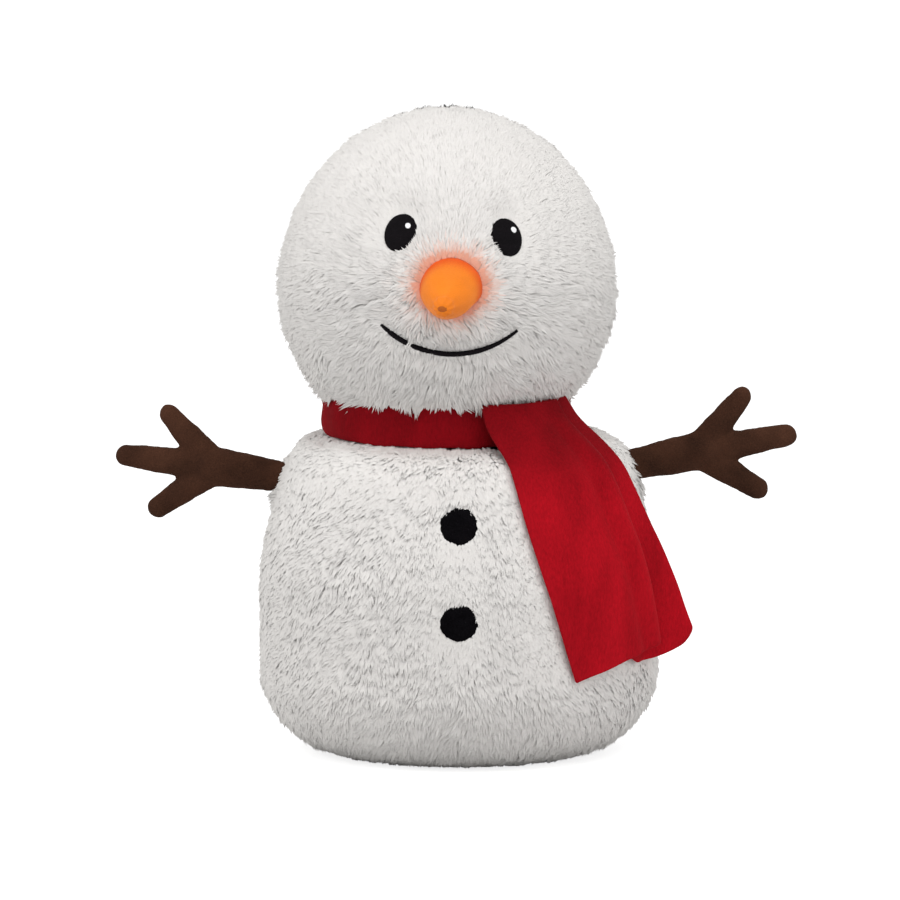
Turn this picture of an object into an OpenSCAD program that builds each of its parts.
// Stuffed plush snowman, standing on its weighted flat base.
// Left and right are the snowman's own. It looks towards -Y, and +Z is up.
// The origin is the centre of the flat base.

/* [Body] */
// Radius of the belly over the fur
belly_r = 99; // [92:0.5:104]
// Height at which the belly is full
belly_z = 44; // [38:1:50]
// Height of the shoulders above the base
body_h = 161; // [157:0.5:165]
// How much narrower the chest is than the belly
chest_inset = 11; // [6:0.5:14]
// Height of the middle of the step from belly to chest
chest_z = 120; // [112:1:128]
// Squareness of the shoulders
shoulder_power = 10; // [7:0.5:12]
// Height over which the belly narrows to the chest
chest_step = 70; // [50:1:90]
// Radius of the flat base
base_r = 54; // [50:0.5:60]
// Thickness of the base panel
base_t = 3; // [2:0.5:5]

/* [Head] */
// Radius of the head over the fur
head_r = 83; // [79:0.5:86]
// Height of the head's widest line above the shoulders
head_rise = 75.3; // [73:0.1:77]
// Crown above the widest line
crown_h = 88; // [80:0.5:92]
// Chin below the widest line
chin_h = 80.5; // [77:0.5:84]
// Sideways shift of the head and neck from the body's middle
head_shift = -6; // [-8:0.5:0]
// Height of the sewn neck seam above the shoulders
neck_rise = 11; // [9:0.5:13]
// Radius of the neck
neck_r = 54; // [50:0.5:56]

/* [Fabric] */
// Thickness of the fur fabric, its backing and standing pile together
fur_t = 12; // [10:0.5:14]
// Gap between sewn pieces
seam_gap = 0.3; // [0.2:0.05:0.5]

/* [Face] */
// Roll of the face, clockwise as seen from the front
face_roll = 2.7; // [-5:0.1:5]
// Turn of the face to the snowman's left
face_turn = 1.3; // [-5:0.1:5]
// Eye to centre line, in degrees round the head
eye_side = 20.6; // [16:0.1:24]
// Eye above the widest line, in degrees
eye_up = 24.4; // [19:0.1:27]
// Width of an eye
eye_w = 16.5; // [13:0.5:19]
// Height of an eye
eye_h = 20; // [16:0.5:23]
// Slant of the eyes towards the nose
eye_slant = 14; // [0:1:20]
// Thickness of the embroidery
thread_t = 3; // [2:0.25:4]
// Depth of the eyes and buttons under the fur's surface
sunk = 0.6; // [0.3:0.1:1.5]
// Diameter of the white glint in an eye
glint_d = 4.6; // [3:0.2:6]
// Radius of the smile as it lies on the head
smile_r = 49.5; // [42:0.5:52]
// Height of the smile's centre above the widest line, in degrees
smile_up = 19.5; // [13:0.5:22]
// Half the sweep of the smile, in degrees
smile_sweep = 43.5; // [35:0.5:50]
// Thickness of the smile's thread
smile_d = 2.6; // [2:0.1:3.5]

/* [Nose] */
// Radius of the nose at its base
nose_r = 16; // [13:0.5:17]
// Length of the nose from its base
nose_l = 36; // [30:1:42]
// Radius of the blunt tip
nose_tip_r = 5.5; // [4:0.5:7]
// Height of the nose above the widest line, in degrees
nose_up = 6; // [2:0.5:8]
// Droop of the nose from square to the face, in degrees
nose_droop = 16; // [5:1:18]
// Lean of the nose to the snowman's right, in degrees
nose_lean = 8; // [0:1:10]
// Depth of the nose's base under the fur's surface
nose_seat = 6; // [5.5:0.25:7]
// Thickness of the nose's cloth
nose_cloth = 0.9; // [0.6:0.1:1.5]

/* [Buttons] */
// Diameter of a coal button
button_d = 19; // [15:0.5:22]
// Thickness of a coal button
button_t = 3; // [2:0.25:4]
// Height of the upper button
upper_button_z = 126.5; // [120:0.5:132]
// Height of the lower button
lower_button_z = 78.5; // [72:0.5:84]

/* [Arms] */
// Height of the left arm's seam
left_arm_z = 144; // [138:0.5:148]
// Height of the right arm's seam
right_arm_z = 138; // [134:0.5:144]
// Rise of the left arm at rest, in degrees
left_arm_rise = 11; // [5:0.5:15]
// Rise of the right arm at rest, in degrees
right_arm_rise = 8; // [5:0.5:15]
// Half height of the arm where it is sewn in
arm_root_r = 7.8; // [7:0.1:9]
// Arm seam to the palm
palm_x = 40; // [34:0.5:42]
// Half width of the palm
palm_r = 10.5; // [9:0.25:12]
// Palm to the middle fingertip
finger_l = 48; // [42:0.5:52]
// Height of the upper fingertip above the arm's line
upper_finger_up = 23.5; // [20:0.5:26]
// Depth of the lower fingertip under the arm's line
lower_finger_down = 24; // [20:0.5:26]
// Half width of a finger
finger_r = 5.9; // [5.4:0.1:6.5]
// Thickness of the arm in the middle
arm_t = 12; // [10.5:0.25:14]
// Thickness of the arm's cloth
arm_cloth = 1.2; // [0.8:0.1:1.6]
// Swing of an arm that its pocket in the fur leaves room for, in degrees
arm_swing = 30; // [20:1:35]
// Depth of the arm's pivot under the fur's surface
arm_sink = 2; // [1.5:0.1:2.5]

/* [Scarf] */
// Height of the band round the neck
band_h = 23; // [18:0.5:24]
// Thickness of the folded band
band_t = 9; // [8:0.25:10]
// Thickness of a hanging tail
tail_t = 3.5; // [2.5:0.1:4]
// Height of the front tail's lower end
front_tail_low = 55; // [50:1:70]
// Height of the back tail's lower end
back_tail_low = 51; // [46:1:70]
// Depth of the folds in a tail
tail_fold = 1.8; // [0:0.2:3]
// How far the back tail's outer corner stands off the body
tail_flare = 24; // [10:1:26]
// How far the back tail's outer corner is rounded up
tail_corner = 10; // [0:1:14]

/* [Filling] */
// Radius of the bag of pellets in the base
bag_r = 46; // [35:1:50]
// Height of the bag of pellets
bag_h = 24; // [15:1:30]
// Thickness of the bag's cloth
bag_cloth = 1; // [0.6:0.1:1.5]

/* [Hidden] */

fur_colour = "#e6e2de";
black_colour = "#121113";
white_colour = "white";
nose_colour = "#ff9122";
arm_colour = "#4a2c20";
scarf_colour = "#b40f20";
filling_colour = "#f3f3f0";
pellet_colour = "#c9d3dc";

fine = 96;
outline_steps = 12; // points on each curve of a profile
far = 400;
neck_z = body_h + neck_rise;
head_z = body_h + head_rise;

// Points of a half outline are [distance from the axis, height].
function between(a, b, share) = a + (b - a) * share;
function smooth(x) = let (c = min(1, max(0, x))) c * c * (3 - 2 * c);
function reversed(list) = [for (i = [len(list) - 1 : -1 : 0]) list[i]];

// The outline moved inwards by depth. It runs so that its inside is on the left.
function inset_curve(points, depth) = [
    for (i = [0 : len(points) - 1])
        let (
            before = points[max(0, i - 1)],
            after = points[min(len(points) - 1, i + 1)],
            along = (after - before) / norm(after - before)
        )
        points[i] + depth * [-along[1], along[0]]
];

// Body: a round lower corner, a full belly, a narrower chest and squarish shoulders.
function dome_share(z) = (min(z, body_h) - belly_z) / (body_h - belly_z);
function chest_share(z) = smooth((z - chest_z) / chest_step + 0.5);
function body_edge(z) = z < belly_z
    ? base_r + (belly_r - base_r) * sqrt(1 - pow(1 - max(0, z) / belly_z, 2))
    : (belly_r - chest_inset * chest_share(z))
        * pow(1 - pow(dome_share(z), shoulder_power), 1 / shoulder_power);

function body_curve() = concat(
    [for (i = [0 : outline_steps - 1])
        let (z = belly_z * (1 - cos(90 * i / outline_steps))) [body_edge(z), z]],
    [for (i = [0 : outline_steps + 2])
        let (z = between(belly_z, chest_z + 20, i / (outline_steps + 3))) [body_edge(z), z]],
    [for (i = [0 : outline_steps])
        let (z = between(chest_z + 20, body_h, sin(90 * i / outline_steps))) [body_edge(z), z]]
);

// Head: two half ellipses, cut off at the neck seam.
function head_edge(z) = let (half = z > head_z ? crown_h : chin_h)
    head_r * sqrt(max(0, 1 - pow((z - head_z) / half, 2)));
head_cut_z = neck_z + seam_gap;
neck_turn = asin((head_z - head_cut_z) / chin_h);
function head_curve() = concat(
    [for (i = [0 : outline_steps - 1])
        let (a = between(-neck_turn, 0, i / outline_steps)) [head_r * cos(a), head_z + chin_h * sin(a)]],
    [for (i = [0 : outline_steps + 6])
        let (a = 90 * i / (outline_steps + 6)) [head_r * cos(a), head_z + crown_h * sin(a)]]
);

module filled(curve) {
    last = curve[len(curve) - 1];
    rotate_extrude($fn = fine)
        polygon(concat([[0, curve[0][1]]], [for (p = curve) [max(0, p[0]), p[1]]],
                       last[0] > 0.01 ? [[0, last[1]]] : []));
}

// The body's solid inside the fur by depth. Inside the fur it stands on the base panel.
module body_solid(depth = 0) {
    curve = inset_curve(body_curve(), depth);
    filled(depth == 0 ? body_curve() : concat([[curve[0][0], base_t + seam_gap]], curve));
}

module head_solid(depth = 0) {
    translate([head_shift, 0, 0])
        intersection() {
            filled(inset_curve(head_curve(), depth));
            translate([-far, -far, head_cut_z]) cube(2 * far);
        }
}

module neck_post(radius, low, high) {
    translate([head_shift, 0, low]) cylinder(r = radius, h = high - low, $fn = fine);
}

// One quarter, left for side 1 and right for side -1, back for face 1 and front for face -1.
module quarter(side, face, middle = 0) {
    intersection() {
        children();
        translate([middle + (side > 0 ? seam_gap / 2 : -far - seam_gap / 2),
                   face > 0 ? seam_gap / 2 : -far - seam_gap / 2, -1])
            cube([far, far, far]);
    }
}

// Places children on the head with +Z out of the fur and +Y towards the crown.
module on_face(around, up) {
    translate([head_shift, 0, head_z])
        rotate([0, face_roll, 0])
            rotate([0, 0, around + face_turn])
                rotate([90 - up, 0, 0])
                    children();
}

// An egg outline, its small end down.
module eye_outline(grow = 0) {
    polygon([for (i = [0 : 27])
        let (a = 360 * i / 28)
        [(eye_w / 2 + grow) * cos(a) * (1 + 0.06 * sin(a)), (eye_h / 2 + grow) * sin(a)]]);
}

module eye_prism(side, grow = 0) {
    on_face(side * eye_side, eye_up)
        rotate([0, 0, side * eye_slant])
            linear_extrude(height = far) eye_outline(grow);
}

module glint_prism(side, grow = 0) {
    on_face(side * eye_side, eye_up)
        translate([eye_w * 0.21, eye_h * 0.16, 0])
            cylinder(d = glint_d + 2 * grow, h = far, $fn = 40);
}

// The stretch of the head between two depths under the fur's surface.
module head_layer(upper, lower) {
    difference() {
        head_solid(upper);
        head_solid(lower);
    }
}

eye_floor = sunk + thread_t;
glint_t = 1;

module eye(side) {
    color(black_colour)
        difference() {
            intersection() {
                head_layer(sunk, eye_floor);
                eye_prism(side);
            }
            intersection() {
                glint_prism(side, seam_gap / 2);
                head_layer(0, sunk + glint_t);
            }
        }
}

module eye_glint(side) {
    color(white_colour)
        intersection() {
            head_layer(sunk - 0.2, sunk + glint_t - seam_gap / 2);
            glint_prism(side);
        }
}

// The smile is an arc of a small circle on the head.
smile_depth = smile_d * 0.3;
smile_on = head_r - smile_depth;
smile_out = sqrt(pow(smile_on, 2) - pow(smile_r, 2));
module on_smile() {
    on_face(0, smile_up)
        translate([0, 0, smile_out])
            rotate([0, 0, -90])
                children();
}

module smile_channel() {
    on_smile()
        rotate([0, 0, -smile_sweep - 1])
            rotate_extrude(angle = 2 * smile_sweep + 2, $fn = fine)
                translate([smile_r - smile_d / 2 - seam_gap, -smile_d / 2 - seam_gap])
                    square([smile_d + 2 * seam_gap, far]);
}

module mouth() {
    color(black_colour)
        on_smile()
            rotate([0, 0, -smile_sweep])
                rotate_extrude(angle = 2 * smile_sweep, $fn = fine)
                    translate([smile_r, 0]) circle(d = smile_d, $fn = 24);
}

// Nose: a carrot cone with a full base, a blunt tip and a gathered dimple in it.
function nose_curve(grow = 0) = concat(
    [for (i = [0 : 10])
        let (s = i / 10, z = (nose_l - nose_tip_r) * s)
        [between(nose_r, nose_tip_r, pow(s, 1.15)) + 1.6 * sin(180 * s) + grow, z]],
    [for (i = [1 : 6])
        let (a = 90 * i / 8)
        [nose_tip_r * cos(a) + grow * cos(a), nose_l - nose_tip_r + (nose_tip_r + grow) * sin(a)]],
    [[nose_tip_r * 0.2, nose_l + grow - 0.5], [0, nose_l + grow - 1.8]]
);

module on_nose() {
    on_face(0, nose_up)
        translate([0, 0, head_r - nose_seat])
            rotate([nose_droop, -nose_lean, 0])
                children();
}

module nose_cover() {
    color(nose_colour)
        on_nose()
            difference() {
                filled(nose_curve());
                translate([0, 0, nose_cloth]) filled(nose_curve(-nose_cloth));
            }
}

module nose_stuffing() {
    color(filling_colour)
        on_nose()
            difference() {
                translate([0, 0, nose_cloth + seam_gap])
                    filled([for (p = nose_curve(-nose_cloth - seam_gap)) [p[0], p[1] * (1 - 1 / nose_l)]]);
                translate([0, 0, nose_l - nose_cloth - 2 * seam_gap - 2]) cylinder(r = nose_tip_r, h = 9);
            }
}

module nose_socket() {
    on_nose()
        translate([0, 0, -seam_gap]) cylinder(r = nose_r + 1.6 + seam_gap, h = 40, $fn = 64);
}

module head_panel(side, face) {
    color(fur_colour)
        quarter(side, face, head_shift)
            difference() {
                head_solid();
                head_solid(fur_t);
                if (face < 0) {
                    difference() {
                        eye_prism(side, seam_gap);
                        head_solid(eye_floor + seam_gap);
                    }
                    nose_socket();
                    smile_channel();
                }
            }
}

module head_stuffing() {
    color(filling_colour) head_solid(fur_t + seam_gap);
}

// Body fur
function body_slope(z) = atan2(body_edge(z - 1) - body_edge(z + 1), 2);

// Places children on the belly's front with +Z out of the fur.
module on_belly(z) {
    translate([0, -body_edge(z), z])
        rotate([90 - body_slope(z), 0, 0])
            children();
}

module button_disc(z, grow = 0, over = 0) {
    on_belly(z)
        translate([0, 0, -sunk - button_t - grow])
            cylinder(r = button_d / 2 + grow, h = button_t + grow + over, $fn = 64);
}

module button(z) {
    color(black_colour) button_disc(z);
}

// Each arm is [side, height of its seam, rise at rest].
left_arm = [1, left_arm_z, left_arm_rise];
right_arm = [-1, right_arm_z, right_arm_rise];

module at_arm(arm) {
    translate([arm[0] * (body_edge(arm[1]) - arm_sink), 0, arm[1]])
        mirror([arm[0] > 0 ? 0 : 1, 0, 0])
            rotate([0, -arm[2], 0])
                children();
}

// The pocket in the side seam: the arm's round root and the fan that its edges sweep.
module arm_pocket(arm) {
    reach = palm_x;
    r = arm_root_r + seam_gap;
    edge = r + 0.2;
    across = edge * [-sin(arm_swing), cos(arm_swing)];
    out = reach * [cos(arm_swing), sin(arm_swing)];
    at_arm(arm)
        rotate([90, 0, 0])
            linear_extrude(height = arm_t * arm_root_r / palm_r + 4 * seam_gap, center = true) {
                circle(r = r, $fn = 64);
                polygon([
                    across,
                    across + out,
                    [across[0] + out[0], -across[1] - out[1]],
                    [across[0], -across[1]]
                ]);
            }
}

module body_panel(side, face) {
    color(fur_colour)
        quarter(side, face)
            difference() {
                union() {
                    body_solid();
                    neck_post(neck_r, body_h - fur_t / 2, neck_z);
                }
                body_solid(fur_t);
                neck_post(neck_r - fur_t, body_h - 1.5 * fur_t, neck_z + 1);
                translate([0, 0, -1]) cylinder(r = base_r + seam_gap, h = 1 + base_t + seam_gap, $fn = fine);
                arm_pocket(left_arm);
                arm_pocket(right_arm);
                if (face < 0)
                    for (z = [upper_button_z, lower_button_z])
                        button_disc(z, seam_gap, 10);
            }
}

module base_panel() {
    color(fur_colour) cylinder(r = base_r, h = base_t, $fn = fine);
}

bag_z = base_t + seam_gap;
module bag_solid(grow = 0) {
    translate([0, 0, bag_z - grow])
        rotate_extrude($fn = fine)
            polygon(concat([[0, 0]],
                [for (a = [-90 : 15 : 90])
                    let (r = bag_h / 2 + grow) [bag_r - bag_h / 2 + r * cos(a), r + r * sin(a)]],
                [[0, bag_h + 2 * grow]]));
}

module body_stuffing() {
    color(filling_colour)
        difference() {
            union() {
                body_solid(fur_t + seam_gap);
                neck_post(neck_r - fur_t - seam_gap, body_h - 3 * fur_t, neck_z);
            }
            bag_solid(seam_gap);
        }
}

module pellet_bag() {
    color(scarf_colour)
        difference() {
            bag_solid();
            bag_solid(-bag_cloth);
        }
}

module pellet_fill() {
    color(pellet_colour) bag_solid(-bag_cloth - seam_gap);
}

// A limb between two balls, each given as [along the arm, up, radius].
module limb(from, to, depth) {
    hull() {
        for (ball = [from, to])
            translate([ball[0], 0, ball[1]]) sphere(r = ball[2] - depth, $fn = 20);
    }
}

// The stuffed arm, flattened from front to back: a forearm, a palm and three blunt fingers.
// Its cloth is drawn in by depth.
module arm_solid(depth = 0) {
    flat = arm_t / 2 / palm_r;
    squeeze = (arm_t / 2 - depth) / (palm_r - depth) / flat;
    scale([1, flat * squeeze, 1]) {
        limb([0, 0, arm_root_r], [palm_x, 0.5, palm_r], depth);
        limb([palm_x + palm_r * 0.19, palm_r * 0.48, palm_r * 0.76], [palm_x + finger_l * 0.49, upper_finger_up, finger_r * 0.95], depth);
        limb([palm_x, 0, palm_r * 0.8], [palm_x + finger_l - finger_r, 0, finger_r], depth);
        limb([palm_x + palm_r * 0.19, -palm_r * 0.48, palm_r * 0.76], [palm_x + finger_l * 0.47, -lower_finger_down, finger_r], depth);
    }
}

module arm_panel(arm, face) {
    color(arm_colour)
        at_arm(arm)
            intersection() {
                difference() {
                    arm_solid();
                    arm_solid(arm_cloth);
                }
                translate([-far, face > 0 ? seam_gap / 2 : -far - seam_gap / 2, -far])
                    cube([2 * far, far, 2 * far]);
            }
}

module arm_stuffing(arm) {
    color(filling_colour) at_arm(arm) arm_solid(arm_cloth + seam_gap);
}

// Scarf band: it fills the crease between the shoulders and the head.
band_in = neck_r + seam_gap;
band_out = band_in + band_t;
band_low = body_h;
band_high = band_low + band_h;
head_clear = 0.6; // room for the head to turn in

module scarf_wrap() {
    color(scarf_colour)
        difference() {
            translate([head_shift, 0, 0])
                rotate_extrude($fn = fine)
                    difference() {
                        translate([band_in, band_low]) square([band_t, band_h]);
                        polygon(concat([[0, head_cut_z]], inset_curve(head_curve(), -head_clear), [[0, head_z]]));
                    }
            filled(inset_curve(body_curve(), -seam_gap));
        }
}

// Tails: a tail is a sheet over the band, the shoulder and the belly. Its points are found from
// how far down it they are (0 to 1) and how far across (0 at the edge nearer the buttons, to 1).
tail_top = band_high - 1;
shoulder_touch = body_h - 9; // where a tail hanging from the band first meets the shoulder
tail_gap = 0.7;
tail_rows = 18;
tail_columns = 8;

function hang_r(z) = z < shoulder_touch
    ? body_edge(z)
    : between(body_edge(shoulder_touch), band_out, (z - shoulder_touch) / (tail_top - shoulder_touch));
function hang_x(z) = head_shift * smooth((z - shoulder_touch) / band_h);

// A tail is [lower end, edge azimuths at the top, edge azimuths at the lower end, fall of the lower edge,
// rise of its outer corner].
front_tail = [front_tail_low, [15, 52], [35, 66], 13, 0];
back_tail = [back_tail_low, [38, 64], [46, 75], 4, tail_corner];

function tail_z(tail, down, across) =
    between(tail_top, tail[0], down) + tail[3] * (across - 0.5) * smooth(down * 1.6)
        + tail[4] * pow(down, 4) * pow(max(0, across - 0.7) / 0.3, 2);
function tail_azimuth(tail, down, across) =
    between(between(tail[1][0], tail[2][0], pow(down, 1.4)), between(tail[1][1], tail[2][1], pow(down, 1.4)), across);

// The front tail lies on the body at one edge and climbs on to the back tail.
// Both have soft folds down them, deepest at the lower end.
function hang_gap(down) = seam_gap + tail_gap * smooth(down * 5);
function fold(down, turns, across) = tail_fold * smooth(down) * (0.5 - 0.5 * cos(360 * turns * across));
function front_lift(down, across) = hang_gap(down) + fold(down, 2, across)
    + (tail_t + 0.6 + (tail_fold + 1) * smooth(down)) * smooth((across - 0.1) / 0.45);
function back_lift(down, across) = hang_gap(down) + fold(down, 1.5, across)
    + tail_flare * 1.6 * pow(down, 1.5) * pow(smooth((across - 0.55) / 0.8), 1.2);

function tail_point(tail, down, across, lift) =
    let (
        z = tail_z(tail, down, across),
        azimuth = tail_azimuth(tail, down, across),
        r = hang_r(z) + lift
    )
    [hang_x(z) + r * sin(azimuth), -r * cos(azimuth), z];

module tail_sheet(tail, lifts) {
    rows = tail_rows;
    columns = tail_columns;
    across = columns + 1;
    layer = (rows + 1) * across;
    points = [for (outer = [0, 1]) for (i = [0 : rows]) for (j = [0 : columns])
        tail_point(tail, i / rows, j / columns, lifts[i][j] + outer * tail_t)];
    function at(outer, i, j) = outer * layer + i * across + j;
    skins = [for (i = [0 : rows - 1]) for (j = [0 : columns - 1]) each [
        [at(1, i, j), at(1, i, j + 1), at(1, i + 1, j + 1)],
        [at(1, i, j), at(1, i + 1, j + 1), at(1, i + 1, j)],
        [at(0, i, j), at(0, i + 1, j + 1), at(0, i, j + 1)],
        [at(0, i, j), at(0, i + 1, j), at(0, i + 1, j + 1)]
    ]];
    sides = [for (i = [0 : rows - 1]) each [
        [at(0, i, 0), at(1, i, 0), at(1, i + 1, 0)],
        [at(0, i, 0), at(1, i + 1, 0), at(0, i + 1, 0)],
        [at(0, i, columns), at(1, i + 1, columns), at(1, i, columns)],
        [at(0, i, columns), at(0, i + 1, columns), at(1, i + 1, columns)]
    ]];
    ends = [for (j = [0 : columns - 1]) each [
        [at(0, 0, j), at(1, 0, j + 1), at(1, 0, j)],
        [at(0, 0, j), at(0, 0, j + 1), at(1, 0, j + 1)],
        [at(0, rows, j), at(1, rows, j), at(1, rows, j + 1)],
        [at(0, rows, j), at(1, rows, j + 1), at(0, rows, j + 1)]
    ]];
    color(scarf_colour) polyhedron(points = points, faces = concat(skins, sides, ends));
}

function lifts_of(front) = [for (i = [0 : tail_rows]) [for (j = [0 : tail_columns])
    front ? front_lift(i / tail_rows, j / tail_columns) : back_lift(i / tail_rows, j / tail_columns)]];

body_panel(1, -1);  // body_panel_front_left
body_panel(-1, -1);  // body_panel_front_right
body_panel(1, 1);  // body_panel_back_left
body_panel(-1, 1);  // body_panel_back_right
base_panel();
body_stuffing();
pellet_bag();
pellet_fill();
button(upper_button_z);  // button_upper
button(lower_button_z);  // button_lower
head_panel(1, -1);  // head_panel_front_left
head_panel(-1, -1);  // head_panel_front_right
head_panel(1, 1);  // head_panel_back_left
head_panel(-1, 1);  // head_panel_back_right
head_stuffing();
eye(1);  // eye_left
eye(-1);  // eye_right
eye_glint(1);  // eye_glint_left
eye_glint(-1);  // eye_glint_right
mouth();
nose_cover();
nose_stuffing();
arm_panel(left_arm, -1);  // left_arm_front_panel
arm_panel(left_arm, 1);  // left_arm_back_panel
arm_stuffing(left_arm);  // left_arm_stuffing
arm_panel(right_arm, -1);  // right_arm_front_panel
arm_panel(right_arm, 1);  // right_arm_back_panel
arm_stuffing(right_arm);  // right_arm_stuffing
scarf_wrap();
tail_sheet(front_tail, lifts_of(true));  // scarf_front_tail
tail_sheet(back_tail, lifts_of(false));  // scarf_back_tail
